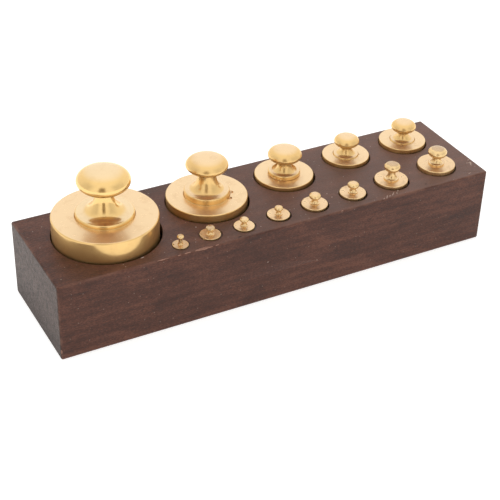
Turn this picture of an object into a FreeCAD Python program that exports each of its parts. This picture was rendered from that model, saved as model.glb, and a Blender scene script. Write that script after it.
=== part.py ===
import FreeCAD, Part
import math
import os
from collections import namedtuple

# Set of brass knob weights from 1 g to 1 kg, standing in the blind bores of a hardwood block.
# Millimetres and grams. The origin is the centre of the block's underside. +X runs along the
# block towards the 50 g weight, +Y to the back row of large weights, and +Z is up.

# ---- Wood block ----
BLOCK_LENGTH = 300.0
BLOCK_HEIGHT = 52.0
BLOCK_EDGE = 1.2              # radius worn on the outer edges
FRONT_WOOD = 6.9              # wood in front of the 1 kg bore, which sets the block's width
BACK_END_MARGIN = 13.1        # wood between the last back bore and the block's end
FRONT_END_MARGIN = 14.1       # wood between the last front bore and the block's end
FIRST_BORE_STEP = 1.1         # from the 1 kg bore's right side to the 1 g bore's centre
MOUTH_CHAMFER = 0.3           # broken edge at a bore's mouth
SPUR_DIA = 3.0                # mark that the boring bit's point leaves in a bore's floor
SPUR_DEPTH = 1.2

# ---- Fits ----
LEAN = 0.5                    # share of its free play by which a weight stands towards -X
STUD_PLAY = 0.05              # radial, between a knob's stud and the tapped cavity
SHOT_PLAY = 0.05              # between neighbouring pellets, and under them

# ---- Adjusting charge ----
SHOT_DIA = 3.0
SHOT_RINGS = 2                # most rings of pellets round the one in the middle

# ---- Metal, g/mm3 ----
BRASS = 8.5e-3
LEAD = 11.34e-3

TRIAL_HEIGHT = 40.0           # body height from which the right one is worked out
SAME = 1e-9                   # two lengths this close are equal

# A knob is turned from the top down: a domed head over a rounded underside, a cove, a slim
# neck that sweeps out to its foot, and the foot's rim.
#   head_d   widest diameter            height  whole knob, above the body's top face
#   dome     widest circle up to top    under   widest circle down to the underside
#   neck_d   slimmest diameter          cove    radius between underside and neck
#   foot_d   foot's diameter            rim     height of the foot's rim
#   round_r  rounding of the rim        step    width of the level ring inside the rim
#   sink     depth at which the neck's sweep starts below the rim
Knob = namedtuple("Knob", "head_d height dome under neck_d cove foot_d rim round_r step sink")

KNOB_1000 = Knob(32.4, 31.5, 8.0, 5.9, 10.6, 2.0, 35.8, 2.6, 1.1, 1.2, 0.0)
KNOB_500 = Knob(26.6, 27.1, 6.1, 3.5, 11.2, 1.5, 28.7, 4.0, 0.9, 1.3, 0.0)
KNOB_200 = Knob(22.0, 19.0, 5.5, 3.5, 8.0, 1.0, 20.9, 2.9, 0.8, 1.6, 0.9)
KNOB_100 = Knob(16.6, 14.2, 4.5, 3.0, 7.0, 0.8, 16.4, 0.7, 0.3, 0.4, 0.0)
KNOB_50 = Knob(12.4, 11.8, 3.5, 2.9, 5.2, 0.6, 10.4, 1.1, 0.3, 0.5, 0.0)
KNOB_20 = Knob(10.5, 11.8, 3.2, 2.5, 4.6, 0.6, 9.7, 1.0, 0.3, 0.5, 0.0)
KNOB_10 = Knob(7.4, 7.3, 2.1, 1.8, 3.4, 0.4, 6.3, 0.5, 0.15, 0.2, 0.0)
KNOB_5 = Knob(5.4, 5.7, 1.8, 1.4, 2.7, 0.3, 4.9, 0.4, 0.12, 0.2, 0.0)
KNOB_2 = Knob(5.7, 5.5, 1.4, 1.1, 2.8, 0.3, 5.0, 0.3, 0.1, 0.2, 0.0)
KNOB_1 = Knob(4.3, 6.6, 1.3, 1.0, 2.2, 0.3, 3.7, 0.25, 0.08, 0.15, 0.0)

# A tapped cavity in the body, and the length of the knob's stud that closes it.
Cavity = namedtuple("Cavity", "dia depth stud")

# A weight: its nominal mass, its body's diameter, the height of the body's top face over the
# block, the roundings of its top and bottom edges, its knob, and its cavity if it has one.
Weight = namedtuple("Weight", "name grams body_d proud top_r base_r knob cavity")

# Where a weight stands: the play across its bore, the wood between that bore and the one to
# its left, or the block's end, and the wood between the bore and the block's nearer long side.
Place = namedtuple("Place", "weight play gap margin")

BACK_ROW = (
    Place(Weight("1000g", 1000.0, 64.8, 13.7, 1.0, 0.8, KNOB_1000, Cavity(20.0, 22.0, 9.0)),
          2.2, 13.7, 3.3),
    Place(Weight("500g", 500.0, 51.3, 5.1, 0.6, 0.6, KNOB_500, Cavity(16.0, 18.0, 8.0)),
          1.7, 10.8, 3.5),
    Place(Weight("200g", 200.0, 38.2, 2.5, 0.5, 0.5, KNOB_200, Cavity(13.0, 12.0, 6.0)),
          1.6, 12.0, 4.8),
    Place(Weight("100g_a", 100.0, 31.1, 2.4, 0.4, 0.4, KNOB_100, Cavity(9.4, 9.0, 5.0)),
          1.1, 13.3, 4.4),
    Place(Weight("100g_b", 100.0, 31.4, 2.8, 0.4, 0.4, KNOB_100, Cavity(9.4, 9.0, 5.0)),
          1.0, 12.7, 4.2),
)

# The row starts with the 1 g bore, which stands beside the 1 kg bore and so has no gap.
FRONT_ROW = (
    Place(Weight("1g", 1.0, 9.9, 0.55, 0.15, 0.1, KNOB_1, None), 1.0, 0.0, 4.1),
    Place(Weight("2g_b", 2.0, 12.9, 0.6, 0.18, 0.12, KNOB_2, None), 1.3, 8.4, 4.7),
    Place(Weight("2g_a", 2.0, 12.9, 0.7, 0.18, 0.12, KNOB_2, None), 1.4, 8.4, 3.9),
    Place(Weight("5g", 5.0, 14.3, 1.0, 0.25, 0.2, KNOB_5, None), 1.3, 10.0, 5.2),
    Place(Weight("10g_b", 10.0, 16.7, 1.4, 0.3, 0.3, KNOB_10, None), 1.0, 9.4, 4.7),
    Place(Weight("10g_a", 10.0, 16.9, 1.4, 0.3, 0.3, KNOB_10, None), 1.3, 10.8, 5.4),
    Place(Weight("20g", 20.0, 21.7, 2.0, 0.4, 0.3, KNOB_20, None), 1.5, 10.1, 5.5),
    Place(Weight("50g", 50.0, 24.8, 2.6, 0.4, 0.4, KNOB_50, None), 0.9, 12.6, 7.1),
)


BLOCK_WIDTH = FRONT_WOOD + BACK_ROW[0].weight.body_d + BACK_ROW[0].play + BACK_ROW[0].margin


# ---- Outlines, drawn in the XZ plane as (radius, height) ----

def point(radius, height):
    return FreeCAD.Vector(radius, 0.0, height)


def path(*corners):
    """Straight edges through the corners."""
    return [Part.LineSegment(point(*a), point(*b)).toShape() for a, b in zip(corners, corners[1:])]


def quarter(centre, start, end):
    """Quarter of an ellipse: one of start and end is level with its centre, the other plumb."""
    hub, first, last = point(*centre), point(*start), point(*end)
    curve = Part.BezierCurve()
    curve.setPoles([first, first + last - hub, last])
    curve.setWeight(2, math.sqrt(0.5))
    return curve.toShape()


def lifted(edges, rise):
    """The same edges, higher by rise."""
    return [edge.translated(FreeCAD.Vector(0.0, 0.0, rise)) for edge in edges]


def turned(edges):
    """Solid turned about Z, from edges that start and end on the axis."""
    ends = [v.Point.z for edge in edges for v in edge.Vertexes if abs(v.Point.x) < SAME]
    axis = path((0.0, min(ends)), (0.0, max(ends)))
    face = Part.Face(Part.Wire(Part.__sortEdges__(edges + axis)))
    solid = face.revolve(FreeCAD.Vector(0, 0, 0), FreeCAD.Vector(0, 0, 1), 360.0)
    return solid if solid.Volume > 0.0 else solid.reversed()


def knob_outline(knob):
    """Edges from the top of the head down to the bottom of the foot's rim."""
    head_r, neck_r, foot_r = knob.head_d / 2.0, knob.neck_d / 2.0, knob.foot_d / 2.0
    widest = knob.height - knob.dome
    underside = widest - knob.under
    waist = underside - knob.cove
    shoulder = neck_r + knob.cove
    rim_r = foot_r - knob.round_r
    sweep_r = rim_r - knob.step
    sweep_z = knob.rim - knob.sink
    edges = [
        quarter((0.0, widest), (0.0, knob.height), (head_r, widest)),
        quarter((shoulder, widest), (head_r, widest), (shoulder, underside)),
        quarter((shoulder, waist), (shoulder, underside), (neck_r, waist)),
        quarter((sweep_r, waist), (neck_r, waist), (sweep_r, sweep_z)),
    ]
    if knob.sink > SAME:
        edges += path((sweep_r, sweep_z), (sweep_r, knob.rim))
    edges += path((sweep_r, knob.rim), (rim_r, knob.rim))
    corner = (rim_r, knob.rim - knob.round_r)
    edges.append(quarter(corner, (rim_r, knob.rim), (foot_r, corner[1])))
    return edges + path((foot_r, corner[1]), (foot_r, 0.0))


def body_outline(weight, height, inner_r):
    """Edges from inner_r on the body's top face, down its side to the middle of its base."""
    body_r = weight.body_d / 2.0
    top_r, base_r = weight.top_r, weight.base_r
    edges = path((inner_r, height), (body_r - top_r, height))
    edges.append(quarter((body_r - top_r, height - top_r), (body_r - top_r, height),
                         (body_r, height - top_r)))
    edges += path((body_r, height - top_r), (body_r, base_r))
    edges.append(quarter((body_r - base_r, base_r), (body_r, base_r), (body_r - base_r, 0.0)))
    return edges + path((body_r - base_r, 0.0), (0.0, 0.0))


# ---- Pieces of a weight, with the middle of its base at the origin ----

def cavity_body(weight, height):
    """Turned body whose tapped cavity opens in its top face."""
    cavity = weight.cavity
    cavity_r = cavity.dia / 2.0
    floor = height - cavity.depth
    edges = path((0.0, floor), (cavity_r, floor), (cavity_r, height))
    return turned(edges + body_outline(weight, height, cavity_r))


def screw_knob(weight, height):
    """Knob whose stud screws into the cavity, down to the foot."""
    stud_r = weight.cavity.dia / 2.0 - STUD_PLAY
    stud = weight.cavity.stud
    foot = path((weight.knob.foot_d / 2.0, 0.0), (stud_r, 0.0), (stud_r, -stud), (0.0, -stud))
    return turned(lifted(knob_outline(weight.knob) + foot, height))


def shot_charge(weight, height):
    """One layer of lead pellets on the cavity's floor: one in the middle, rings round it."""
    pellet_r = SHOT_DIA / 2.0
    pitch = SHOT_DIA + SHOT_PLAY
    level = height - weight.cavity.depth + SHOT_PLAY + pellet_r
    room = weight.cavity.dia / 2.0 - pellet_r - SHOT_PLAY
    rings = min(SHOT_RINGS, int(room / pitch))
    pellets = [Part.makeSphere(pellet_r, FreeCAD.Vector(0.0, 0.0, level))]
    for ring in range(1, rings + 1):
        count = 6 * ring
        for index in range(count):
            turn = 2.0 * math.pi * index / count
            spot = FreeCAD.Vector(math.cos(turn), math.sin(turn), 0.0) * (ring * pitch)
            pellets.append(Part.makeSphere(pellet_r, spot + FreeCAD.Vector(0.0, 0.0, level)))
    return Part.makeCompound(pellets)


def solid_weight(weight, height):
    """Small weight turned in one piece with its knob."""
    foot_r = weight.knob.foot_d / 2.0
    edges = lifted(knob_outline(weight.knob), height)
    return turned(edges + body_outline(weight, height, foot_r))


def weight_pieces(weight, height):
    """Each piece's node name, shape and density."""
    node = "weight_" + weight.name
    if weight.cavity is None:
        return [(node, solid_weight(weight, height), BRASS)]
    return [
        (node + "_body", cavity_body(weight, height), BRASS),
        (node + "_knob", screw_knob(weight, height), BRASS),
        (node + "_shot", shot_charge(weight, height), LEAD),
    ]


def body_height(weight):
    """Height of the body that brings the whole weight to its nominal mass."""
    mass = sum(shape.Volume * density for _, shape, density in weight_pieces(weight, TRIAL_HEIGHT))
    area = math.pi * (weight.body_d / 2.0) ** 2
    return TRIAL_HEIGHT + (weight.grams - mass) / (BRASS * area)


# ---- Layout: each bore's centre, radius and depth ----

Seat = namedtuple("Seat", "place height x y radius depth")


def seat(place, x, side):
    """Bore of a weight in the row along one long side, -1 front and +1 back."""
    radius = (place.weight.body_d + place.play) / 2.0
    height = body_height(place.weight)
    y = side * (BLOCK_WIDTH / 2.0 - place.margin - radius)
    return Seat(place, height, x, y, radius, height - place.weight.proud)


def spread(row, start, end):
    """Bore centres along X from start to end, with the wood before each bore in proportion to
    its gap."""
    bores = [place.weight.body_d + place.play for place in row]
    stretch = (end - start - sum(bores)) / sum(place.gap for place in row)
    centres = []
    for bore, place in zip(bores, row):
        start += place.gap * stretch + bore
        centres.append(start - bore / 2.0)
    return centres


def all_seats():
    """Seats of the back row, then of the front row, which starts beside the 1 kg bore."""
    half = BLOCK_LENGTH / 2.0
    back_x = spread(BACK_ROW, -half, half - BACK_END_MARGIN)
    back = [seat(place, x, 1) for place, x in zip(BACK_ROW, back_x)]
    first = FRONT_ROW[0]
    first_r = (first.weight.body_d + first.play) / 2.0
    front_start = back[0].x + back[0].radius + FIRST_BORE_STEP - first_r
    front_x = spread(FRONT_ROW, front_start, half - FRONT_END_MARGIN)
    return back + [seat(place, x, -1) for place, x in zip(FRONT_ROW, front_x)]


# ---- Block ----

def bore_tool(spot):
    """What the boring bit takes away: the bore, its broken mouth and the mark of its point."""
    floor = BLOCK_HEIGHT - spot.depth
    chamfer = min(MOUTH_CHAMFER, spot.depth / 3.0)
    mouth_r = spot.radius + chamfer
    spur_r = SPUR_DIA / 2.0
    above = BLOCK_HEIGHT + 1.0
    edges = path((0.0, above), (mouth_r, above), (mouth_r, BLOCK_HEIGHT),
                 (spot.radius, BLOCK_HEIGHT - chamfer), (spot.radius, floor),
                 (spur_r, floor), (0.0, floor - SPUR_DEPTH))
    return turned(edges).translated(FreeCAD.Vector(spot.x, spot.y, 0.0))


def wood_block(seats):
    corner = FreeCAD.Vector(-BLOCK_LENGTH / 2.0, -BLOCK_WIDTH / 2.0, 0.0)
    block = Part.makeBox(BLOCK_LENGTH, BLOCK_WIDTH, BLOCK_HEIGHT, corner)
    block = block.makeFillet(BLOCK_EDGE, block.Edges)
    return block.cut(Part.makeCompound([bore_tool(spot) for spot in seats]))


# ---- Whole set ----

def standing(shape, spot):
    """A weight's piece, stood on its bore's floor and leaning to one side of its play."""
    shift = LEAN * spot.place.play / 2.0
    move = FreeCAD.Vector(spot.x - shift, spot.y, BLOCK_HEIGHT - spot.depth)
    return shape.translated(move)


def build():
    os.makedirs("parts", exist_ok=True)
    seats = all_seats()
    nodes = {"wood_block": wood_block(seats)}
    for spot in seats:
        for node, shape, _ in weight_pieces(spot.place.weight, spot.height):
            nodes[node] = standing(shape, spot)
    for node, shape in nodes.items():
        shape.exportStep("parts/" + node + ".step")
        print(node, round(shape.Volume, 2), "valid" if shape.isValid() else "NOT VALID")
    for spot in seats:
        print(spot.place.weight.name, "height", round(spot.height, 2), "bore depth",
              round(spot.depth, 2), "at", round(spot.x, 2), round(spot.y, 2))


build()
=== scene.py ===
import math
from collections import namedtuple

import bpy
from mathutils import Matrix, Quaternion, Vector


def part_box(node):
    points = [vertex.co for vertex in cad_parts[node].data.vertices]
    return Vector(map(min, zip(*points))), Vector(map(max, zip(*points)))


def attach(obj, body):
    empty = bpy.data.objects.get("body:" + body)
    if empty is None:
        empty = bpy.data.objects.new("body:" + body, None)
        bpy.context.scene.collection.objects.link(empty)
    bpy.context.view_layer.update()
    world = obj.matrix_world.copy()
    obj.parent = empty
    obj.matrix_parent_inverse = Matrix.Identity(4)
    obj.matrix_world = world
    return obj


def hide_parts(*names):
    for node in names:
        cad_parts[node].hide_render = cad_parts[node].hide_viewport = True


# Set of brass knob weights from 1 g to 1 kg in a stained hardwood block. Metres, in the frame of
# the CAD model; outlines are drawn in millimetres, as a turner's drawing gives them.

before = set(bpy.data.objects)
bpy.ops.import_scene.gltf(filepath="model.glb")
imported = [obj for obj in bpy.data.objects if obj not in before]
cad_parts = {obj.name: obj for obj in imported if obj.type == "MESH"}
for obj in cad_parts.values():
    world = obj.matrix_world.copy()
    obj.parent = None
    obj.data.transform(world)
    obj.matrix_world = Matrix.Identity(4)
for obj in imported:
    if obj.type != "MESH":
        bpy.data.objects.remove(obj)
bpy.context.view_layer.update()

MM = 0.001

# ---- Fineness of the meshes ----
FACET = 0.55                  # mm, chord along a curved outline
HOLD = 0.25                   # mm, ring that keeps a flat face flat beside its rounded edge
FEWEST_CHORDS = 5             # in the smallest quarter round
CREASE = math.radians(32.0)   # edges sharper than this stay crisp
PEBBLE_ROUGHNESS = 0.06       # of a chip's size
WELD = 1e-6                   # m, points this close are one
STEPS_PER_MM = 8              # round the axis, for each millimetre of radius
FEWEST_STEPS = 72
MOST_STEPS = 192
BROAD = 30.0                  # mm, only the block's six flat faces are larger than its square

# ---- Fits and edges, mm ----
LEAN = 0.5                    # share of its free play by which a weight stands towards -X
STUD_PLAY = 0.05              # between a knob's stud and the tapped cavity
FOOT_EASE = 0.3               # broken lower edge of a screwed knob's foot
SCRIBE = 0.4                  # half width and depth of the line turned round that foot
BLOCK_EDGE = 1.2              # radius worn on the block's outer edges
EDGE_SEGMENTS = 5
MOUTH_CHAMFER = 0.3           # broken edge at a bore's mouth
SPUR_DIA = 3.0                # mark of the boring bit's point in a bore's floor
SPUR_DEPTH = 1.2
ABOVE_BLOCK = 1.0             # the boring tool starts this far above the wood

# A knob from the top down: domed head, rounded underside, cove, slim neck that sweeps out to
# its foot, level ring, and the foot's rounded rim. sink is how far the sweep starts below it.
Knob = namedtuple("Knob", "head_d height dome under neck_d cove foot_d rim round_r step sink")

KNOB_1000 = Knob(32.4, 31.5, 8.0, 5.9, 10.6, 2.0, 35.8, 2.6, 1.1, 1.2, 0.0)
KNOB_500 = Knob(26.6, 27.1, 6.1, 3.5, 11.2, 1.5, 28.7, 4.0, 0.9, 1.3, 0.0)
KNOB_200 = Knob(22.0, 19.0, 5.5, 3.5, 8.0, 1.0, 20.9, 2.9, 0.8, 1.6, 0.9)
KNOB_100 = Knob(16.6, 14.2, 4.5, 3.0, 7.0, 0.8, 16.4, 0.7, 0.3, 0.4, 0.0)
KNOB_50 = Knob(12.4, 11.8, 3.5, 2.9, 5.2, 0.6, 10.4, 1.1, 0.3, 0.5, 0.0)
KNOB_20 = Knob(10.5, 11.8, 3.2, 2.5, 4.6, 0.6, 9.7, 1.0, 0.3, 0.5, 0.0)
KNOB_10 = Knob(7.4, 7.3, 2.1, 1.8, 3.4, 0.4, 6.3, 0.5, 0.15, 0.2, 0.0)
KNOB_5 = Knob(5.4, 5.7, 1.8, 1.4, 2.7, 0.3, 4.9, 0.4, 0.12, 0.2, 0.0)
KNOB_2 = Knob(5.7, 5.5, 1.4, 1.1, 2.8, 0.3, 5.0, 0.3, 0.1, 0.2, 0.0)
KNOB_1 = Knob(4.3, 6.6, 1.3, 1.0, 2.2, 0.3, 3.7, 0.25, 0.08, 0.15, 0.0)

# Tapped cavity for the adjusting shot, and the length of the knob's stud that closes it.
Cavity = namedtuple("Cavity", "dia depth stud")

# play is across the bore; top_r and base_r round the body's edges. Millimetres.
Weight = namedtuple("Weight", "name play top_r base_r knob cavity")

WEIGHTS = (
    Weight("1000g", 2.2, 1.0, 0.8, KNOB_1000, Cavity(20.0, 22.0, 9.0)),
    Weight("500g", 1.7, 0.6, 0.6, KNOB_500, Cavity(16.0, 18.0, 8.0)),
    Weight("200g", 1.6, 0.5, 0.5, KNOB_200, Cavity(13.0, 12.0, 6.0)),
    Weight("100g_a", 1.1, 0.4, 0.4, KNOB_100, Cavity(9.4, 9.0, 5.0)),
    Weight("100g_b", 1.0, 0.4, 0.4, KNOB_100, Cavity(9.4, 9.0, 5.0)),
    Weight("50g", 0.9, 0.4, 0.4, KNOB_50, None),
    Weight("20g", 1.5, 0.4, 0.3, KNOB_20, None),
    Weight("10g_a", 1.3, 0.3, 0.3, KNOB_10, None),
    Weight("10g_b", 1.0, 0.3, 0.3, KNOB_10, None),
    Weight("5g", 1.3, 0.25, 0.2, KNOB_5, None),
    Weight("2g_a", 1.4, 0.18, 0.12, KNOB_2, None),
    Weight("2g_b", 1.3, 0.18, 0.12, KNOB_2, None),
    Weight("1g", 1.0, 0.15, 0.1, KNOB_1, None),
)


# ---- Outlines, in the plane through the axis, as (radius, height) in millimetres ----

def quarter(centre, start, end):
    """Points after start along a quarter of an ellipse to end, in even turns."""
    chords = max(FEWEST_CHORDS, round(math.dist(start, end) / FACET))
    points = []
    for chord in range(1, chords + 1):
        turn = math.pi / 2.0 * chord / chords
        points.append(tuple(
            c + (s - c) * math.cos(turn) + (e - c) * math.sin(turn)
            for c, s, e in zip(centre, start, end)))
    return points


def knob_outline(knob):
    """From the top of the head down to the lower edge of the foot's rim."""
    head_r, neck_r, foot_r = knob.head_d / 2.0, knob.neck_d / 2.0, knob.foot_d / 2.0
    widest = knob.height - knob.dome
    underside = widest - knob.under
    waist = underside - knob.cove
    shoulder = neck_r + knob.cove
    rim_r = foot_r - knob.round_r
    sweep_r = rim_r - knob.step
    sweep_z = knob.rim - knob.sink
    corner = (rim_r, knob.rim - knob.round_r)
    outline = [(0.0, knob.height)]
    outline += quarter((0.0, widest), (0.0, knob.height), (head_r, widest))
    outline += quarter((shoulder, widest), (head_r, widest), (shoulder, underside))
    outline += quarter((shoulder, waist), (shoulder, underside), (neck_r, waist))
    outline += quarter((sweep_r, waist), (neck_r, waist), (sweep_r, sweep_z))
    if knob.sink > 0.0:
        outline.append((sweep_r, knob.rim))
    outline.append((rim_r, knob.rim))
    return outline + quarter(corner, (rim_r, knob.rim), (foot_r, corner[1]))


def body_outline(weight, inner_r, body_r, height):
    """From inner_r on the body's top face, down its side to the middle of its base."""
    top_r, base_r = weight.top_r, weight.base_r
    outline = held((inner_r, height), (body_r - top_r, height))
    outline += quarter((body_r - top_r, height - top_r), (body_r - top_r, height),
                       (body_r, height - top_r))
    outline += held((body_r, height - top_r), (body_r, base_r))
    outline += quarter((body_r - base_r, base_r), (body_r, base_r), (body_r - base_r, 0.0))
    return outline + held((body_r - base_r, 0.0), (0.0, 0.0))


def held(start, end):
    """Points after start along a straight run to end, with a ring close to each end of it."""
    run = math.dist(start, end)
    if run < 4.0 * HOLD:
        return [end]
    shares = (HOLD / run, 1.0 - HOLD / run, 1.0)
    return [tuple(s + (e - s) * share for s, e in zip(start, end)) for share in shares]


def raised(outline, rise):
    """The outline, moved up."""
    return [(radius, height + rise) for radius, height in outline]


# ---- Modelling, as by hand ----

def only(piece):
    """Selects this piece alone and makes it the active one."""
    bpy.ops.object.select_all(action="DESELECT")
    piece.select_set(True)
    bpy.context.view_layer.objects.active = piece


def settle(piece):
    """Brings the object to the origin, unturned and unscaled, with its place in its mesh."""
    only(piece)
    bpy.ops.object.transform_apply(location=True, rotation=True, scale=True)


def turned(name, outline, centre, base):
    """Solid turned about the upright axis through centre. Outline heights count from base."""
    widest = max(radius for radius, _ in outline)
    steps = min(MOST_STEPS, max(FEWEST_STEPS, STEPS_PER_MM * round(widest)))
    bpy.ops.object.select_all(action="DESELECT")
    bpy.ops.mesh.primitive_plane_add(
        size=MM, location=(centre[0] + outline[0][0] * MM, centre[1], base + outline[0][1] * MM))
    piece = bpy.context.active_object
    piece.name = name
    bpy.ops.object.mode_set(mode="EDIT")
    bpy.ops.mesh.select_mode(type="VERT")
    bpy.ops.mesh.merge(type="CENTER")
    for (radius, height), (next_radius, next_height) in zip(outline, outline[1:]):
        step = ((next_radius - radius) * MM, 0.0, (next_height - height) * MM)
        bpy.ops.mesh.extrude_region_move(TRANSFORM_OT_translate={"value": step})
    bpy.ops.mesh.select_all(action="SELECT")
    bpy.ops.mesh.spin(steps=steps, angle=2.0 * math.pi, center=(*centre, 0.0), axis=(0, 0, 1))
    bpy.ops.mesh.select_all(action="SELECT")
    bpy.ops.mesh.remove_doubles(threshold=WELD)
    bpy.ops.mesh.normals_make_consistent(inside=False)
    bpy.ops.object.mode_set(mode="OBJECT")
    settle(piece)
    return piece


def pick_faces(piece, wanted):
    """Leaves the piece in edit mode, with only the faces selected that wanted(face) is true for."""
    only(piece)
    bpy.ops.object.mode_set(mode="EDIT")
    bpy.ops.mesh.select_mode(type="FACE")
    bpy.ops.mesh.select_all(action="DESELECT")
    bpy.ops.object.mode_set(mode="OBJECT")
    for face in piece.data.polygons:
        face.select = wanted(face)
    bpy.ops.object.mode_set(mode="EDIT")


def cut(piece, tools):
    """Cuts the tools, which don't touch each other, out of the piece. The cut faces take the
    tools' finishes."""
    bpy.ops.object.select_all(action="DESELECT")
    for tool in tools:
        tool.select_set(True)
    bpy.context.view_layer.objects.active = tools[0]
    if len(tools) > 1:
        bpy.ops.object.join()
    only(piece)
    step = piece.modifiers.new("cut", "BOOLEAN")
    step.operation = "DIFFERENCE"
    step.solver = "EXACT"
    step.material_mode = "TRANSFER"
    step.object = tools[0]
    bpy.ops.object.modifier_apply(modifier=step.name)
    bpy.data.objects.remove(tools[0])


def pebble(spot, size, turn, seed, finish=None):
    """Rough-sided lump, used to chip or dent a piece. spot and size in millimetres."""
    bpy.ops.object.select_all(action="DESELECT")
    bpy.ops.mesh.primitive_ico_sphere_add(subdivisions=3, radius=0.5)
    lump = bpy.context.active_object
    bpy.ops.object.mode_set(mode="EDIT")
    bpy.ops.transform.vertex_random(offset=PEBBLE_ROUGHNESS, seed=seed)
    bpy.ops.object.mode_set(mode="OBJECT")
    lump.scale = [side * MM for side in size]
    lump.rotation_euler = [math.radians(angle) for angle in turn]
    lump.location = [place * MM for place in spot]
    if finish:
        lump.data.materials.append(finish)
    settle(lump)
    return lump


# ---- Materials ----

def linear(shade):
    """sRGB hex value as the linear colour that a shader takes."""
    channels = [int(shade[place:place + 2], 16) / 255.0 for place in (1, 3, 5)]
    return (*[c / 12.92 if c <= 0.04045 else ((c + 0.055) / 1.055) ** 2.4 for c in channels], 1.0)


def add(owner, kind, settings=None, inputs=None, stops=()):
    """Adds a node. An input takes a value, a node's output, or a node, whose first output in
    use is meant. stops are a colour ramp's (place, colour)."""
    node = owner.node_tree.nodes.new("ShaderNode" + kind)
    for name, value in (settings or {}).items():
        setattr(node, name, value)
    for identifier, value in (inputs or {}).items():
        socket = next(s for s in node.inputs if s.identifier == identifier)
        if isinstance(value, bpy.types.Node):
            value = next(s for s in value.outputs if s.enabled)
        if isinstance(value, bpy.types.NodeSocket):
            owner.node_tree.links.new(value, socket)
        else:
            socket.default_value = value
    for number, (place, shade) in enumerate(stops):
        elements = node.color_ramp.elements
        element = elements[number] if number < 2 else elements.new(place)
        element.position = place
        element.color = linear(shade)
    return node


def blank(name):
    """New material without nodes."""
    material = bpy.data.materials.new(name)
    material.use_nodes = True
    material.node_tree.nodes.clear()
    return material


def wave_length(along, across, deep=None):
    """Mapping scale of a pattern whose marks have these lengths in millimetres along X, Y, Z."""
    return (1.0 / (along * MM), 1.0 / (across * MM), 1.0 / ((deep or across) * MM))


# Beech, planed along the grain, stained walnut brown and oiled. The stain sits darker in the
# fine pores, which run as short dashes along X; the end grain drinks more of it and dries
# greyer; the oil leaves a low sheen; handling has rubbed the edges paler; and the top is painted
# paler towards the +X end, a painted sheen of the bright backdrop.
FIBRE = (26.0, 0.9)           # mm, streak of darker and lighter fibres: long, wide
PORE = (4.5, 0.42)            # mm, drawn twice as coarse as real ones so that they show
BAND = (150.0, 11.0)          # mm, broad bands of stain
GRIT = (1.6, 0.7)             # mm, short dashes that roughen the surface
PATCH = (42.0, 16.0)          # mm, cloudy patches where the stain took unevenly
RING = 4.5                    # mm between growth rings
PITH = (0.0, 0.055, -0.11)    # m, middle of the growth rings, behind and below the block
ALONG_RINGS = 0.15            # how much slower the rings change along the grain
WAVE_UNIT = 0.314             # one ring of the wave pattern, in its own units
GRAIN_SLOPE = (0.0, 0.012, 0.02)   # the fibres run a little out of true with the block
RING_SHARE, FIBRE_SHARE, BAND_SHARE, GRIT_SHARE, PATCH_SHARE = 0.03, 0.14, 0.07, 0.42, 0.34
DARK_AT, MID_AT, LIGHT_AT = 0.39, 0.5, 0.61
GRAIN_DEPTH = 0.05            # mm
PORE_STAIN = "#241612"
PORE_SHARE = 0.55
WOOD_IOR = 1.47               # oil and stain over the wood
OILED = (0.36, 0.52)          # roughness, from fibre to fibre
OPEN_PORED = 0.3              # rough fibres scatter most of the shine of the oil
OPEN_ENDED = (0.14, 0.31)     # the same between the cut ends of the pores
MOTTLE = 2.6                  # mm, cut ends of the pores in groups
MOTTLE_RANGE = (0.36, 0.66)
END_DARK, END_DARK_AT = "#2d1f19", 0.33
END_LIGHT, END_LIGHT_AT = "#543e34", 0.68
FOOT_DARK = 0.6                   # how far the end faces go towards their darkest colour at the foot
FOOT_DARK_TOP = 26.0              # mm, height over which it fades out
FOOT_DARK_SHINE = 0.3             # share of the shine where the foot is darkest
# Painted sheen: faces turned upwards are mixed towards this pale grey-brown towards the +X end.
PAINTED_TOP_SHEEN = "#86695d"
TOP_SHEEN_SHARE = 0.42                   # share of the painted sheen at the +X end
TOP_SHEEN_STARTS, TOP_SHEEN_FULL = -0.155, 0.115   # m, along X
RUBBED_STAIN = "#8d6757"
RUBBED = 0.4                  # share at an edge
RUB_STARTS, RUB_FULL = 1.7, 0.3          # mm, summed distance from the two faces of an edge
RUB_PATCH = 9.0               # mm
DUST = "#b3a092"
SPECK_SPACING = 3.2           # mm
SPECK_EDGE, SPECK_CORE = 0.12, 0.05      # of the spacing
SPECK_RARITY = 0.55           # share of the specks left out
DUST_SHARE = (0.4, 0.85)      # on upright and on level faces


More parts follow.
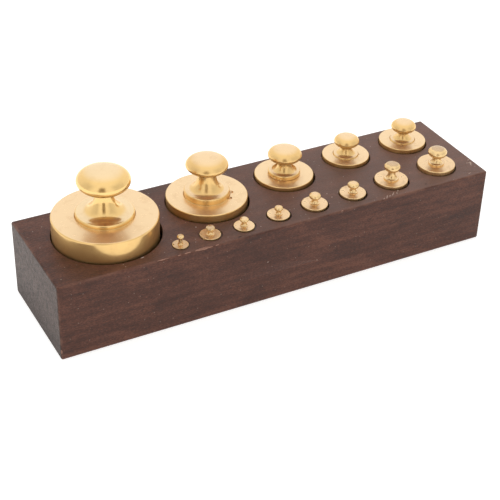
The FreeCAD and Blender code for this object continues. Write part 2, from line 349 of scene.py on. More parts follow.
def stained_hardwood(name, dark, mid, light):
    wood = blank(name)
    place = add(wood, "TexCoord").outputs["Object"]
    band = add(wood, "TexNoise", None, {
        "Vector": add(wood, "Mapping", None, {"Vector": place, "Scale": wave_length(*BAND)}),
        "Scale": 1.0, "Detail": 3.0, "Roughness": 0.55, "Distortion": 0.4})
    fibre = add(wood, "TexNoise", None, {
        "Vector": add(wood, "Mapping", None, {
            "Vector": place, "Rotation": GRAIN_SLOPE, "Scale": wave_length(*FIBRE)}),
        "Scale": 1.0, "Detail": 4.0, "Roughness": 0.6})
    pore = add(wood, "TexNoise", None, {
        "Vector": add(wood, "Mapping", None, {
            "Vector": place, "Rotation": GRAIN_SLOPE, "Scale": wave_length(*PORE)}),
        "Scale": 1.0, "Detail": 2.0, "Roughness": 0.5})
    ring = add(wood, "TexWave", {"wave_type": "RINGS", "rings_direction": "X"}, {
        "Vector": add(wood, "Mapping", None, {
            "Vector": place, "Location": tuple(-c for c in PITH),
            "Scale": (ALONG_RINGS, 1.0, 1.0)}),
        "Scale": WAVE_UNIT / (RING * MM), "Distortion": 1.6, "Detail": 2.0, "Detail Scale": 0.35})
    grit = add(wood, "TexNoise", None, {
        "Vector": add(wood, "Mapping", None, {"Vector": place, "Scale": wave_length(*GRIT)}),
        "Scale": 1.0, "Detail": 3.0, "Roughness": 0.7})
    patch = add(wood, "TexNoise", None, {
        "Vector": add(wood, "Mapping", None, {"Vector": place, "Scale": wave_length(*PATCH)}),
        "Scale": 1.0, "Detail": 5.0, "Roughness": 0.65, "Distortion": 0.8})
    streak = 0.0
    for pattern, share in ((ring, RING_SHARE), (fibre, FIBRE_SHARE), (band, BAND_SHARE),
                           (grit, GRIT_SHARE), (patch, PATCH_SHARE)):
        streak = add(wood, "Math", {"operation": "MULTIPLY_ADD"}, {
            "Value": pattern, "Value_001": share, "Value_002": streak})
    stain = add(wood, "ValToRGB", None, {"Fac": streak},
                stops=((DARK_AT, dark), (LIGHT_AT, light), (MID_AT, mid)))
    pit = add(wood, "MapRange", {"interpolation_type": "SMOOTHSTEP"}, {
        "Value": pore, "From Min": 0.56, "From Max": 0.72})
    with_pores = add(wood, "Mix", {"data_type": "RGBA"}, {
        "Factor_Float": add(wood, "Math", {"operation": "MULTIPLY"}, {
            "Value": pit, "Value_001": PORE_SHARE}),
        "A_Color": stain, "B_Color": linear(PORE_STAIN)})
    # End grain: faces across X.
    facing = add(wood, "SeparateXYZ", None, {
        "Vector": add(wood, "NewGeometry").outputs["Normal"]})
    end = add(wood, "MapRange", {"interpolation_type": "SMOOTHSTEP"}, {
        "Value": add(wood, "Math", {"operation": "ABSOLUTE"}, {"Value": facing.outputs["X"]}),
        "From Min": 0.6, "From Max": 0.95})
    mottle = add(wood, "TexNoise", None, {
        "Vector": place, "Scale": 1.0 / (MOTTLE * MM), "Detail": 5.0, "Roughness": 0.7})
    end_stain = add(wood, "ValToRGB", None, {"Fac": mottle},
                    stops=((END_DARK_AT, END_DARK), (END_LIGHT_AT, END_LIGHT)))
    spot = add(wood, "SeparateXYZ", None, {"Vector": place})
    # The end faces are darker towards the foot, fading out upwards.
    foot_dark = add(wood, "MapRange", {"interpolation_type": "SMOOTHSTEP"}, {
        "Value": spot.outputs["Z"], "From Min": FOOT_DARK_TOP * MM, "From Max": 0.0,
        "To Max": FOOT_DARK})
    darkened_at_foot = add(wood, "Mix", {"data_type": "RGBA"}, {
        "Factor_Float": foot_dark, "A_Color": end_stain, "B_Color": linear(END_DARK)})
    upward = add(wood, "MapRange", {"interpolation_type": "SMOOTHSTEP"}, {
        "Value": facing.outputs["Z"], "From Min": 0.5, "From Max": 0.95})
    # Painted sheen: faces turned upwards grow paler towards the +X end.
    along = add(wood, "MapRange", None, {
        "Value": spot.outputs["X"], "From Min": TOP_SHEEN_STARTS, "From Max": TOP_SHEEN_FULL,
        "To Max": TOP_SHEEN_SHARE})
    with_painted_sheen = add(wood, "Mix", {"data_type": "RGBA"}, {
        "Factor_Float": add(wood, "Math", {"operation": "MULTIPLY"}, {
            "Value": along, "Value_001": upward}),
        "A_Color": with_pores, "B_Color": linear(PAINTED_TOP_SHEEN)})
    with_ends = add(wood, "Mix", {"data_type": "RGBA"}, {
        "Factor_Float": end, "A_Color": with_painted_sheen, "B_Color": darkened_at_foot})
    # Rubbed edges: near two of the block's outer faces at once.
    low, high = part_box("wood_block")
    middle, half = (low + high) / 2.0, (high - low) / 2.0
    centred = add(wood, "VectorMath", {"operation": "ABSOLUTE"}, {
        "Vector": add(wood, "VectorMath", {"operation": "SUBTRACT"}, {
            "Vector": place, "Vector_001": tuple(middle)})})
    inward = add(wood, "SeparateXYZ", None, {
        "Vector": add(wood, "VectorMath", {"operation": "SUBTRACT"}, {
            "Vector": tuple(half), "Vector_001": centred})})
    pairs = [add(wood, "Math", {"operation": "ADD"}, {
        "Value": inward.outputs[first], "Value_001": inward.outputs[second]})
        for first, second in ("XY", "YZ", "XZ")]
    nearest = add(wood, "Math", {"operation": "MINIMUM"}, {
        "Value": pairs[0], "Value_001": add(wood, "Math", {"operation": "MINIMUM"}, {
            "Value": pairs[1], "Value_001": pairs[2]})})
    rub = add(wood, "MapRange", {"interpolation_type": "SMOOTHSTEP"}, {
        "Value": nearest, "From Min": RUB_STARTS * MM, "From Max": RUB_FULL * MM,
        "To Max": RUBBED})
    patchy = add(wood, "MapRange", None, {
        "Value": add(wood, "TexNoise", None, {
            "Vector": place, "Scale": 1.0 / (RUB_PATCH * MM), "Detail": 4.0}),
        "From Min": 0.42, "From Max": 0.62})
    rubbed = add(wood, "Mix", {"data_type": "RGBA"}, {
        "Factor_Float": add(wood, "Math", {"operation": "MULTIPLY"}, {
            "Value": rub, "Value_001": patchy}),
        "A_Color": with_ends, "B_Color": linear(RUBBED_STAIN)})
    # Dust and pin-prick scuffs, a fraction of a millimetre across.
    speck = add(wood, "TexVoronoi", {"feature": "F1"}, {
        "Vector": place, "Scale": 1.0 / (SPECK_SPACING * MM)})
    dot = add(wood, "MapRange", None, {
        "Value": speck.outputs["Distance"], "From Min": SPECK_EDGE, "From Max": SPECK_CORE})
    rare = add(wood, "Math", {"operation": "GREATER_THAN"}, {
        "Value": add(wood, "SeparateColor", None, {
            "Color": speck.outputs["Color"]}).outputs["Red"], "Value_001": SPECK_RARITY})
    dusty = add(wood, "Mix", {"data_type": "RGBA"}, {
        "Factor_Float": add(wood, "Math", {"operation": "MULTIPLY"}, {
            "Value": add(wood, "Math", {"operation": "MULTIPLY"}, {
                "Value": dot, "Value_001": rare}),
            "Value_001": add(wood, "MapRange", None, {
                "Value": upward, "To Min": DUST_SHARE[0], "To Max": DUST_SHARE[1]})}),
        "A_Color": rubbed, "B_Color": linear(DUST)})
    sheen = add(wood, "MapRange", None, {
        "Value": fibre, "From Min": 0.3, "From Max": 0.7,
        "To Min": OILED[0], "To Max": OILED[1]})
    ends_shine = add(wood, "MapRange", None, {
        "Value": mottle, "From Min": MOTTLE_RANGE[0], "From Max": MOTTLE_RANGE[1],
        "To Min": OPEN_ENDED[0], "To Max": OPEN_ENDED[1]})
    ends_dulled = add(wood, "Math", {"operation": "MULTIPLY"}, {
        "Value": ends_shine,
        "Value_001": add(wood, "MapRange", None, {
            "Value": foot_dark, "To Min": 1.0, "To Max": FOOT_DARK_SHINE})})
    shine = add(wood, "Mix", {"data_type": "FLOAT"}, {
        "Factor_Float": end, "A_Float": OPEN_PORED, "B_Float": ends_dulled})
    relief = add(wood, "Math", {"operation": "SUBTRACT"}, {"Value": grit, "Value_001": pit})
    grain = add(wood, "Bump", None, {
        "Height": relief, "Distance": GRAIN_DEPTH * MM, "Strength": 0.8})
    surface = add(wood, "BsdfPrincipled", None, {
        "Base Color": dusty, "Roughness": sheen, "Normal": grain, "IOR": WOOD_IOR,
        "Specular IOR Level": shine})
    add(wood, "OutputMaterial", None, {"Surface": surface})
    return wood


# Beech where the stain has chipped off: short torn fibres, dry and pinkish, and paler where a
# scratch has only crushed them.
TORN = (3.0, 0.3)             # mm, torn fibre: long, wide


def bare_hardwood(name, dark, light):
    wood = blank(name)
    place = add(wood, "TexCoord").outputs["Object"]
    torn = add(wood, "TexNoise", None, {
        "Vector": add(wood, "Mapping", None, {"Vector": place, "Scale": wave_length(*TORN)}),
        "Scale": 1.0, "Detail": 3.0})
    tone = add(wood, "ValToRGB", None, {"Fac": torn},
               stops=((0.3, dark), (0.7, light)))
    surface = add(wood, "BsdfPrincipled", None, {
        "Base Color": tone, "Roughness": 0.75, "IOR": WOOD_IOR,
        "Normal": add(wood, "Bump", None, {"Height": torn, "Distance": GRAIN_DEPTH * MM})})
    add(wood, "OutputMaterial", None, {"Surface": surface})
    return wood


# Brass, turned on a lathe. Its colour is the metal's own, except that faces turned upwards
# are painted paler, a painted highlight, and faces turned downwards are painted dark brown, a
# painted shade; rings left by the tool run round the axis and stretch each reflection across
# them; handling leaves clouds and hair scratches.
# Sides keep more of their polish than the faces that are cleaned and put down: side_rough and
# level_rough. spread is how much the clouds dull both, haze the share of light that fine
# scratches scatter round each reflection, and crown the share of the stain on a head's crown.
# The second colour is a painted highlight, for faces turned upwards.
Finish = namedtuple("Finish", "yellow pale tarnish tarnish_share side_rough level_rough spread"
                              " haze ring ring_depth stretch crown")

POLISHED = Finish(
    "#f4ce8a", "#f5daae", "#c9995c", 0.10, 0.06, 0.07, 0.06, 0.30, 0.5, 0.0008, 0.15, 0.0)
SATIN = Finish(
    "#f1ca88", "#f6d8ad", "#c79a66", 0.16, 0.07, 0.17, 0.12, 0.50, 0.4, 0.0034, 0.55, 0.0)
TARNISHED = Finish(
    "#f3d199", "#f1d1a6", "#a5805a", 0.26, 0.14, 0.22, 0.14, 0.35, 0.3, 0.0030, 0.35, 0.0)
STAINED = TARNISHED._replace(crown=0.34)
HANDLED = TARNISHED._replace(pale="#d5b38a", tarnish_share=0.4)
SMALL_FINISHES = {"50g": STAINED, "20g": STAINED, "2g_b": STAINED, "1g": HANDLED}
HAZE_ROUGHNESS = 0.5
CLOUD = 7.0                   # mm, patches of duller metal
HAIR = (7.0, 0.14)            # mm, scratch: long, wide; drawn wider than real ones to show
HAIR_SLOPE = (0.3, 0.2, 0.7)
HAIR_DULL = 0.05              # added roughness
HAIR_DEPTH = 0.002            # mm
# Painted shade, for faces turned downwards.
UNDER_SHADE = "#8d6330"
UNDER_SHADE_SHARE = 0.8
CROWN_STAIN = "#7f6a66"
CROWN = 1.1                   # mm, depth of the stain on a head's crown
RAGGED = 2.4                  # how far its edge wanders, in crown depths


def turned_brass(name, finish, centre, peak=0.0):
    """centre is the lathe axis and peak the height of the knob's top, in metres."""
    brass = blank(name)
    place = add(brass, "TexCoord").outputs["Object"]
    local = add(brass, "Mapping", None, {
        "Vector": place, "Location": (-centre[0], -centre[1], 0.0)})
    split = add(brass, "SeparateXYZ", None, {"Vector": local})
    flat = add(brass, "CombineXYZ", None, {"X": split.outputs["X"], "Y": split.outputs["Y"]})
    radius = add(brass, "VectorMath", {"operation": "LENGTH"}, {"Vector": flat}).outputs["Value"]
    lathe = add(brass, "CombineXYZ", None, {"X": radius, "Y": split.outputs["Z"]})
    ring = add(brass, "TexNoise", None, {
        "Vector": lathe, "Scale": 1.0 / (finish.ring * MM), "Detail": 2.0})
    cloud = add(brass, "TexNoise", None, {
        "Vector": local, "Scale": 1.0 / (CLOUD * MM), "Detail": 5.0, "Roughness": 0.6,
        "Distortion": 0.6})
    hair = add(brass, "TexNoise", None, {
        "Vector": add(brass, "Mapping", None, {
            "Vector": local, "Rotation": HAIR_SLOPE, "Scale": wave_length(*HAIR)}),
        "Scale": 1.0, "Detail": 2.0})
    scratch = add(brass, "MapRange", None, {
        "Value": hair, "From Min": 0.66, "From Max": 0.72})
    normal = add(brass, "NewGeometry").outputs["Normal"]
    upward = add(brass, "SeparateXYZ", None, {"Vector": normal}).outputs["Z"]
    level = add(brass, "MapRange", {"interpolation_type": "SMOOTHSTEP"}, {
        "Value": upward, "From Min": 0.84, "From Max": 0.99})
    # Painted highlight: faces turned upwards are mixed towards a paler colour.
    metal = add(brass, "Mix", {"data_type": "RGBA"}, {
        "Factor_Float": level, "A_Color": linear(finish.yellow), "B_Color": linear(finish.pale)})
    dull = add(brass, "MapRange", {"interpolation_type": "SMOOTHSTEP"}, {
        "Value": cloud, "From Min": 0.5, "From Max": 0.68, "To Max": finish.tarnish_share})
    clouded = add(brass, "Mix", {"data_type": "RGBA"}, {
        "Factor_Float": dull, "A_Color": metal, "B_Color": linear(finish.tarnish)})
    # Painted shade: faces turned downwards, the underside of the head among them, turn dark brown.
    under = add(brass, "MapRange", {"interpolation_type": "SMOOTHSTEP"}, {
        "Value": upward, "From Min": -0.15, "From Max": -0.7, "To Max": UNDER_SHADE_SHARE})
    with_under_shade = add(brass, "Mix", {"data_type": "RGBA"}, {
        "Factor_Float": under, "A_Color": clouded, "B_Color": linear(UNDER_SHADE)})
    # Fingers leave a violet-grey stain with a sharp edge on the crown of some heads.
    crown = add(brass, "MapRange", {"interpolation_type": "SMOOTHSTEP"}, {
        "Value": add(brass, "Math", {"operation": "MULTIPLY_ADD"}, {
            "Value": cloud, "Value_001": RAGGED * CROWN * MM, "Value_002": split.outputs["Z"]}),
        "From Min": peak + 0.15 * CROWN * MM, "From Max": peak + 0.4 * CROWN * MM,
        "To Max": finish.crown})
    colour = add(brass, "Mix", {"data_type": "RGBA"}, {
        "Factor_Float": crown, "A_Color": with_under_shade, "B_Color": linear(CROWN_STAIN)})
    gloss = add(brass, "Math", {"operation": "MULTIPLY_ADD"}, {
        "Value": cloud, "Value_001": finish.spread,
        "Value_002": add(brass, "Math", {"operation": "MULTIPLY_ADD"}, {
            "Value": scratch, "Value_001": HAIR_DULL,
            "Value_002": add(brass, "MapRange", None, {
                "Value": level, "To Min": finish.side_rough, "To Max": finish.level_rough})})})
    rings = add(brass, "Bump", None, {
        "Height": ring, "Distance": finish.ring_depth * MM})
    relief = add(brass, "Bump", {"invert": True}, {
        "Height": scratch, "Distance": HAIR_DEPTH * MM, "Normal": rings})
    round_axis = add(brass, "VectorMath", {"operation": "CROSS_PRODUCT"}, {
        "Vector": flat, "Vector_001": (0.0, 0.0, 1.0)})
    across = add(brass, "VectorMath", {"operation": "NORMALIZE"}, {
        "Vector": add(brass, "VectorMath", {"operation": "CROSS_PRODUCT"}, {
            "Vector": round_axis, "Vector_001": normal})})
    shine = add(brass, "BsdfPrincipled", None, {
        "Base Color": colour, "Metallic": 1.0, "Roughness": gloss, "Normal": relief,
        "Anisotropic": finish.stretch, "Tangent": across})
    haze = add(brass, "BsdfPrincipled", None, {
        "Base Color": colour, "Metallic": 1.0, "Roughness": HAZE_ROUGHNESS, "Normal": relief})
    add(brass, "OutputMaterial", None, {
        "Surface": add(brass, "MixShader", None, {
            "Fac": finish.haze, "Shader": shine, "Shader_001": haze})})
    return brass


# Lead shot, cast and tumbled: soft grey metal with a white bloom.
def lead_shot():
    lead = blank("Lead shot, tumbled")
    place = add(lead, "TexCoord").outputs["Object"]
    bloom = add(lead, "TexNoise", None, {
        "Vector": place, "Scale": 1.0 / (0.8 * MM), "Detail": 4.0})
    tone = add(lead, "ValToRGB", None, {"Fac": bloom}, stops=((0.35, "#55585c"), (0.7, "#a3a5a8")))
    surface = add(lead, "BsdfPrincipled", None, {
        "Base Color": tone, "Metallic": 0.85, "Roughness": 0.55,
        "Normal": add(lead, "Bump", None, {"Height": bloom, "Distance": 0.02 * MM})})
    add(lead, "OutputMaterial", None, {"Surface": surface})
    return lead


# ---- Wear on the weights ----
# Dents and chips, placed round a weight's axis: angle in degrees from +X, radius, and height over
# the body's top face; size is round the axis, outwards and deep. Millimetres.
Dent = namedtuple("Dent", "angle radius rise size")

DENTS = {
    "weight_1000g_lathe_body": (
        Dent(-92.4, 32.4, 0.0, (4.4, 0.9, 0.9)), Dent(-37.0, 32.5, -0.2, (1.4, 0.5, 0.8)),
        Dent(-151.0, 32.5, -0.1, (2.2, 0.4, 0.6)), Dent(70.0, 32.5, -0.2, (1.8, 0.5, 0.7))),
    "weight_200g_lathe_knob": (
        Dent(172.0, 10.5, 0.9, (2.2, 1.8, 2.2)), Dent(187.0, 10.5, 0.5, (1.8, 1.9, 1.6)),
        Dent(203.0, 10.5, 1.0, (2.7, 1.9, 2.4)), Dent(217.0, 10.5, 0.5, (1.6, 1.8, 1.5)),
        Dent(229.0, 10.5, 0.8, (2.0, 1.7, 2.0)), Dent(241.0, 10.5, 0.4, (1.3, 1.4, 1.2))),
    "weight_200g_lathe_body": (
        Dent(208.0, 12.0, 0.0, (1.4, 0.9, 0.6)), Dent(223.0, 11.8, 0.0, (1.0, 0.8, 0.6))),
    "weight_100g_a_lathe_body": (Dent(-32.0, 9.2, 0.0, (0.8, 0.8, 0.6)),),
    "weight_50g_lathe": (
        Dent(-60.0, 12.4, -0.1, (1.3, 0.4, 0.5)), Dent(100.0, 12.4, -0.1, (1.0, 0.4, 0.5))),
    "weight_20g_lathe": (Dent(-120.0, 10.8, -0.1, (1.1, 0.4, 0.5)),),
    "weight_2g_b_lathe": (
        Dent(182.0, 6.6, 0.0, (1.3, 0.8, 1.4)), Dent(206.5, 6.5, 0.0, (1.5, 0.9, 1.4)),
        Dent(-88.0, 6.7, 0.0, (2.2, 0.7, 0.8)), Dent(-48.0, 6.7, 0.0, (1.6, 0.6, 0.8))),
    "weight_1g_lathe": (
        Dent(161.0, 4.5, 0.0, (2.0, 1.6, 2.4)), Dent(105.0, 3.9, 0.05, (1.1, 0.9, 0.6)),
        Dent(-99.0, 3.6, 0.05, (1.3, 0.8, 0.6)), Dent(-55.0, 5.1, 0.0, (1.8, 0.5, 1.6)),
        Dent(20.0, 5.1, 0.0, (1.6, 0.5, 1.6)), Dent(-140.0, 5.1, 0.0, (1.2, 0.4, 1.6))),
}
# Ring-shaped punch marks that stake the 500 g knob to its body: angle, radius.
PUNCHES = ((-18.2, 15.3), (-45.2, 15.1))
PUNCH_RING = (0.6, 1.5)        # inner and outer radius
PUNCH_DEPTH = 0.9


def round_axis(centre, angle, radius):
    """Place in metres at an angle and a radius in millimetres from an axis."""
    turn = math.radians(angle)
    return centre[0] + radius * MM * math.cos(turn), centre[1] + radius * MM * math.sin(turn)


def dented(piece, centre, top):
    """Cuts the piece's dents. top is the height of the body's top face, in metres."""
    lumps = []
    for number, dent in enumerate(DENTS.get(piece.name, ())):
        x, y = round_axis(centre, dent.angle, dent.radius)
        lumps.append(pebble((x / MM, y / MM, top / MM + dent.rise), dent.size,
                            (0.0, 0.0, dent.angle + 90.0), number))
    if lumps:
        cut(piece, lumps)


def punched(body, centre, top):
    """Cuts the staking marks beside the knob's foot."""
    inner_r, outer_r = PUNCH_RING
    outline = [(inner_r, -PUNCH_DEPTH), (outer_r, -PUNCH_DEPTH), (outer_r, 1.0), (inner_r, 1.0),
               (inner_r, -PUNCH_DEPTH)]
    cut(body, [turned("punch", outline, round_axis(centre, *spot), top) for spot in PUNCHES])


# ---- Weights ----

def seat_of(weight):
    """Centre and base height in metres, body radius and height in millimetres."""
    node = "weight_" + weight.name + ("_body" if weight.cavity else "")
    low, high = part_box(node)
    centre = ((low.x + high.x) / 2.0, (low.y + high.y) / 2.0)
    height = (high.z - low.z) / MM - (0.0 if weight.cavity else weight.knob.height)
    return centre, low.z, (high.x - low.x) / 2.0 / MM, height


def finished(piece, node, body, material):
    """Gives the piece its material and its place in the frame, instead of the CAD node."""
    piece.data.materials.clear()
    piece.data.materials.append(material)
    only(piece)
    bpy.ops.object.shade_smooth_by_angle(angle=CREASE)
    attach(piece, body)
    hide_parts(node)


def copied(piece, name, shift):
    """Copy with a mesh of its own, moved by shift in metres."""
    only(piece)
    bpy.ops.object.duplicate(linked=False)
    copy = bpy.context.active_object
    copy.name = name
    copy.location = shift
    settle(copy)
    return copy


turned_already = {}           # the first piece of each outline, and where its top face is


def turned_or_copied(name, outline, centre, base, top):
    """A piece with the same outline as an earlier one, up from its top face, is a copy of it."""
    shape = tuple((round(radius, 3), round(height - (top - base) / MM, 3))
                  for radius, height in outline)
    if shape not in turned_already:
        piece = turned(name, outline, centre, base)
        turned_already[shape] = (piece, Vector((*centre, top)))
        return piece
    first, spot = turned_already[shape]
    return copied(first, name, Vector((*centre, top)) - spot)


def cavity_weight(weight, knob_finish):
    """Body with its tapped cavity, and the knob whose stud closes it."""
    centre, base, body_r, height = seat_of(weight)
    top = base + height * MM
    body = "weight_" + weight.name
    cavity_r = weight.cavity.dia / 2.0
    stud_r = cavity_r - STUD_PLAY
    floor = height - weight.cavity.depth
    foot_r = weight.knob.foot_d / 2.0
    outline = [(0.0, floor), (cavity_r, floor), (cavity_r, height)]
    if weight.knob.sink:
        outline += body_outline(weight, cavity_r, body_r, height)
    else:
        outline += [(foot_r - SCRIBE, height), (foot_r, height - SCRIBE),
                    (foot_r + SCRIBE, height)]
        outline += body_outline(weight, foot_r + SCRIBE, body_r, height)
    lump = turned(body + "_lathe_body", outline, centre, base)
    dented(lump, centre, top)
    if weight.name == "500g":
        punched(lump, centre, top)
    finished(lump, body + "_body", body,
             turned_brass("Satin brass, " + weight.name + " body", SATIN, centre))
    stud = [(foot_r, FOOT_EASE), (foot_r - FOOT_EASE, 0.0), (stud_r, 0.0),
            (stud_r, -weight.cavity.stud), (0.0, -weight.cavity.stud)]
    knob = turned_or_copied(
        body + "_lathe_knob", raised(knob_outline(weight.knob) + stud, height), centre, base, top)
    dented(knob, centre, top)
    finished(knob, body + "_knob", body,
             turned_brass("Brass, " + weight.name + " knob", knob_finish, centre))


def solid_weight(weight):
    """Small weight turned in one piece with its knob."""
    centre, base, body_r, height = seat_of(weight)
    top = base + height * MM
    body = "weight_" + weight.name
    foot_r = weight.knob.foot_d / 2.0
    outline = raised(knob_outline(weight.knob), height) + [(foot_r, height)]
    outline += body_outline(weight, foot_r, body_r, height)
    piece = turned_or_copied(body + "_lathe", outline, centre, base, top)
    dented(piece, centre, top)
    finish = SMALL_FINISHES.get(weight.name, TARNISHED)
    finished(piece, body, body,
             turned_brass("Tarnished brass, " + weight.name, finish, centre,
                          top + weight.knob.height * MM))


for weight in WEIGHTS:
    if weight.cavity is None:
        solid_weight(weight)
    elif weight.name == "1000g":
        cavity_weight(weight, POLISHED)
    else:
        cavity_weight(weight, SATIN)

shot = lead_shot()
for node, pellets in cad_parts.items():
    if node.endswith("_shot"):
        pellets.data.materials.clear()
        pellets.data.materials.append(shot)


# ---- Block ----

def rounded_block(name, low, high):
    """Planed block with worn edges. Each face keeps a ring beside its edges that holds it flat."""
    bpy.ops.object.select_all(action="DESELECT")
    bpy.ops.mesh.primitive_cube_add(size=1.0, location=(low + high) / 2.0, scale=high - low)
    block = bpy.context.active_object
    block.name = name
    settle(block)
    bpy.ops.object.mode_set(mode="EDIT")
    bpy.ops.mesh.select_all(action="SELECT")
    bpy.ops.mesh.bevel(offset=BLOCK_EDGE * MM, segments=EDGE_SEGMENTS, affect="EDGES")
    bpy.ops.object.mode_set(mode="OBJECT")
    pick_faces(block, lambda face: face.area > (BROAD * MM) ** 2)
    bpy.ops.mesh.inset(thickness=2.0 * HOLD * MM, use_individual=True)
    bpy.ops.object.mode_set(mode="OBJECT")
    return block


def boring_bit(weight, top, finish):
    """The shape that the bit takes out of the block for a weight, with the mark of its point."""
    centre, base, body_r, _ = seat_of(weight)
    bore_r = body_r + weight.play / 2.0
    bore_x = centre[0] + LEAN * weight.play / 2.0 * MM
    depth = (top - base) / MM
    chamfer = min(MOUTH_CHAMFER, depth / 3.0)
    outline = [(0.0, depth + ABOVE_BLOCK), (bore_r + chamfer, depth + ABOVE_BLOCK),
               (bore_r + chamfer, depth), (bore_r, depth - chamfer), (bore_r, 0.0),
               (SPUR_DIA / 2.0, 0.0), (0.0, -SPUR_DEPTH)]
    bit = turned("bit", outline, (bore_x, centre[1]), base)
    bit.data.materials.append(finish)
    return bit


# Wear on the block: place, size and turn about Z, in millimetres and degrees.
Chip = namedtuple("Chip", "x y z size turn")

EDGE_Y = -38.3                # middle of the worn front edge
TOP_Z = 51.7
CHIPS = (                     # the finish has gone from the torn wood
    Chip(-84.0, EDGE_Y, TOP_Z + 0.1, (9.0, 0.8, 0.6), 0.4),
    Chip(-73.5, EDGE_Y, TOP_Z, (2.4, 0.7, 0.7), 0.0),
    Chip(-68.0, EDGE_Y, TOP_Z + 0.1, (4.6, 0.8, 0.6), -0.6),
    Chip(-57.2, EDGE_Y + 0.1, TOP_Z, (12.0, 1.8, 1.2), 0.8),
    Chip(-48.6, EDGE_Y, TOP_Z, (2.6, 0.7, 0.6), 0.0),
    Chip(38.5, EDGE_Y, TOP_Z, (2.0, 0.7, 0.6), 0.0),
    Chip(-149.7, -38.2, 6.0, (1.0, 1.0, 3.0), 0.0),
)
SCRATCHES = (
    Chip(-94.2, -31.4, 52.0, (2.6, 0.9, 0.6), 14.0),
    Chip(69.6, -37.9, 52.0, (2.6, 0.5, 0.5), 35.0),
    Chip(72.6, -36.9, 52.0, (4.6, 0.5, 0.5), 52.0),
    Chip(75.1, -36.5, 52.0, (2.2, 0.6, 0.4), 28.0),
    Chip(78.1, -35.4, 52.0, (4.4, 0.6, 0.5), 44.0),
    Chip(80.9, -35.6, 52.0, (2.4, 0.5, 0.4), 60.0),
    Chip(83.2, -33.4, 52.0, (2.6, 0.5, 0.4), 38.0),
    Chip(146.2, -25.2, 52.0, (5.6, 0.8, 0.6), 62.0),
    Chip(147.6, -20.8, 52.0, (2.2, 0.6, 0.4), 10.0),
    Chip(138.2, -35.4, 52.0, (3.0, 0.6, 0.5), 20.0),
    Chip(-13.5, -38.6, 28.9, (1.3, 0.3, 0.4), 0.0),
    Chip(22.1, -38.6, 19.7, (1.1, 0.3, 0.4), 0.0),
    Chip(40.9, -21.8, 52.0, (0.9, 0.7, 0.4), 0.0),
    Chip(35.5, -27.8, 52.0, (0.8, 0.6, 0.4), 0.0),
    Chip(40.2, -17.0, 52.0, (1.0, 0.7, 0.4), 30.0),
    Chip(-15.9, -32.3, 52.0, (0.8, 0.6, 0.4), 0.0),
    Chip(-51.7, -15.7, 52.0, (0.9, 0.7, 0.4), 0.0),
)
CROSSING = (                  # runs over one of the scratches
    Chip(145.8, -24.2, 52.0, (4.6, 0.7, 0.5), -35.0),
)
PITS = (                      # old dents that filled with stain
    Chip(-32.7, -36.9, 52.1, (2.6, 1.2, 1.0), 8.0),
    Chip(104.0, -34.5, 52.1, (1.6, 0.8, 0.7), 0.0),
    Chip(-98.0, -38.7, 20.0, (1.8, 0.6, 1.2), 0.0),
)


def gouges(chips, finish):
    """Lumps that cut the chips, lined with the finish that shows in them."""
    return [pebble((chip.x, chip.y, chip.z), chip.size, (0.0, 0.0, chip.turn), number, finish)
            for number, chip in enumerate(chips)]


block_low, block_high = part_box("wood_block")
stained = stained_hardwood("Stained beech, oiled", "#351d14", "#4e2c20", "#6a4131")
# Painted shade: a darker copy of the stain lines the bores, where shade falls round each weight;
# the pits take it as stain.
bored = stained_hardwood("Stained beech, bored", "#1d120f", "#35221c", "#4c342b")
bare = bare_hardwood("Bare beech, torn", "#6f4b3e", "#bd917c")
crushed = bare_hardwood("Bare beech, crushed", "#937869", "#cfbcaf")
block = rounded_block("bored_block", block_low, block_high)
block.data.materials.append(stained)
# The bores' walls and floors take the darker copy of the stain, a painted shade.
cut(block, [boring_bit(weight, block_high.z, bored) for weight in WEIGHTS])
cut(block, gouges(CHIPS, bare) + gouges(SCRATCHES, crushed) + gouges(PITS, bored))
cut(block, gouges(CROSSING, crushed))
only(block)
bpy.ops.object.shade_smooth_by_angle(angle=CREASE)
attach(block, "block")
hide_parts("wood_block")

# ---- Studio ----
CAMERA_AZIMUTH = math.radians(-29.13)
CAMERA_ELEVATION = math.radians(34.17)
CAMERA_ROLL = math.radians(1.87)
CAMERA_DISTANCE = 0.8346
CAMERA_AIM = Vector((-0.0015, 0.0062, 0.0069))
LENS = 91.84
BACK = Vector((
    math.sin(CAMERA_AZIMUTH) * math.cos(CAMERA_ELEVATION),
    -math.cos(CAMERA_AZIMUTH) * math.cos(CAMERA_ELEVATION),
    math.sin(CAMERA_ELEVATION)))
ROOM_LIGHT = 1.12
CEILING = 1.0                 # brightness straight above
ROOM = (                      # brightness round the room, from the backdrop to the camera
    (0.0, "#fbfbfb"), (1.0, "#7c6a55"), (0.3, "#f0f0f0"), (0.5, "#dedede"), (0.75, "#d4d4d4"),
    (0.91, "#ffffff"), (0.975, "#ffffff"), (0.992, "#9a8a78"))
LENS_SPREAD = math.cos(math.radians(4.5))   # dark round the camera itself
LENS_CORE = math.cos(math.radians(2.5))
CEILING_STARTS = math.sin(math.radians(42.0))
CEILING_FULL = math.sin(math.radians(72.0))
SOFTBOX_SIDE = 2.4
SOFTBOX_PLACE = Vector((-0.5, 0.6, 1.8))
SOFTBOX_POWER = 5.0
FLOOR_SIDE = 12.0
FLOOR_GLOW = 0.65             # the sheet is lit from below as well, so that it has no shadows
PAPER_TOOTH = 0.6             # mm


def camera():
    data = bpy.data.cameras.new("camera")
    data.lens = LENS
    holder = bpy.data.objects.new("camera", data)
    bpy.context.scene.collection.objects.link(holder)
    holder.location = CAMERA_AIM + BACK * CAMERA_DISTANCE
    holder.rotation_mode = "QUATERNION"
    level = (-BACK).to_track_quat("-Z", "Y")
    holder.rotation_quaternion = level @ Quaternion((0.0, 0.0, 1.0), CAMERA_ROLL)
    bpy.context.scene.camera = holder


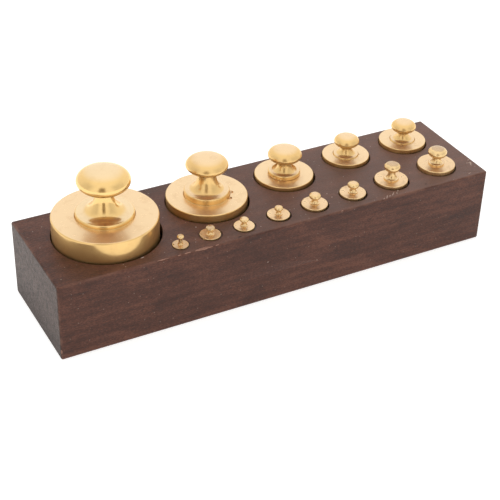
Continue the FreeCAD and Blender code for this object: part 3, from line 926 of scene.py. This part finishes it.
def surroundings():
    """White room: a bright backdrop, dimmer side walls, and the camera with a dark figure behind
    it between two lit panels."""
    room = bpy.data.worlds.new("white room")
    bpy.context.scene.world = room
    room.use_nodes = True
    room.node_tree.nodes.clear()
    direction = add(room, "TexCoord").outputs["Generated"]
    parts = add(room, "SeparateXYZ", None, {"Vector": direction})
    level = add(room, "VectorMath", {"operation": "NORMALIZE"}, {
        "Vector": add(room, "CombineXYZ", None, {
            "X": parts.outputs["X"], "Y": parts.outputs["Y"]})})
    facing = add(room, "VectorMath", {"operation": "DOT_PRODUCT"}, {
        "Vector": level, "Vector_001": (BACK.x / BACK.xy.length, BACK.y / BACK.xy.length, 0.0)})
    walls = add(room, "ValToRGB", None, {"Fac": add(room, "MapRange", None, {
        "Value": facing.outputs["Value"], "From Min": -1.0})}, stops=ROOM)
    overhead = add(room, "MapRange", {"interpolation_type": "SMOOTHSTEP"}, {
        "Value": parts.outputs["Z"], "From Min": CEILING_STARTS, "From Max": CEILING_FULL})
    white = add(room, "Mix", {"data_type": "RGBA"}, {
        "Factor_Float": overhead, "A_Color": walls, "B_Color": (CEILING, CEILING, CEILING, 1.0)})
    lens = add(room, "MapRange", {"interpolation_type": "SMOOTHSTEP"}, {
        "Value": add(room, "VectorMath", {"operation": "DOT_PRODUCT"}, {
            "Vector": direction, "Vector_001": tuple(BACK)}).outputs["Value"],
        "From Min": LENS_SPREAD, "From Max": LENS_CORE, "To Min": ROOM_LIGHT, "To Max": 0.05})
    light = add(room, "Background", None, {"Color": white, "Strength": lens})
    add(room, "OutputWorld", None, {"Surface": light})


def softbox():
    data = bpy.data.lights.new("softbox", "AREA")
    data.shape = "SQUARE"
    data.size = SOFTBOX_SIDE
    data.energy = SOFTBOX_POWER
    holder = bpy.data.objects.new("softbox", data)
    bpy.context.scene.collection.objects.link(holder)
    holder.location = SOFTBOX_PLACE
    holder.visible_glossy = False
    holder.rotation_mode = "QUATERNION"
    holder.rotation_quaternion = (-SOFTBOX_PLACE).to_track_quat("-Z", "Y")


def floor():
    bpy.ops.object.select_all(action="DESELECT")
    bpy.ops.mesh.primitive_plane_add(size=FLOOR_SIDE)
    paper = bpy.context.active_object
    paper.name = "floor"
    white = blank("White paper")
    place = add(white, "TexCoord").outputs["Object"]
    tooth = add(white, "TexNoise", None, {"Vector": place, "Scale": 1.0 / (PAPER_TOOTH * MM)})
    surface = add(white, "BsdfPrincipled", None, {
        "Base Color": linear("#d0d0ce"), "Roughness": 0.9,
        "Emission Color": (1.0, 1.0, 1.0, 1.0), "Emission Strength": FLOOR_GLOW,
        "Normal": add(white, "Bump", None, {"Height": tooth, "Distance": 0.01 * MM})})
    add(white, "OutputMaterial", None, {"Surface": surface})
    paper.data.materials.append(white)


camera()
surroundings()
softbox()
floor()
bpy.context.scene.view_settings.view_transform = "Standard"
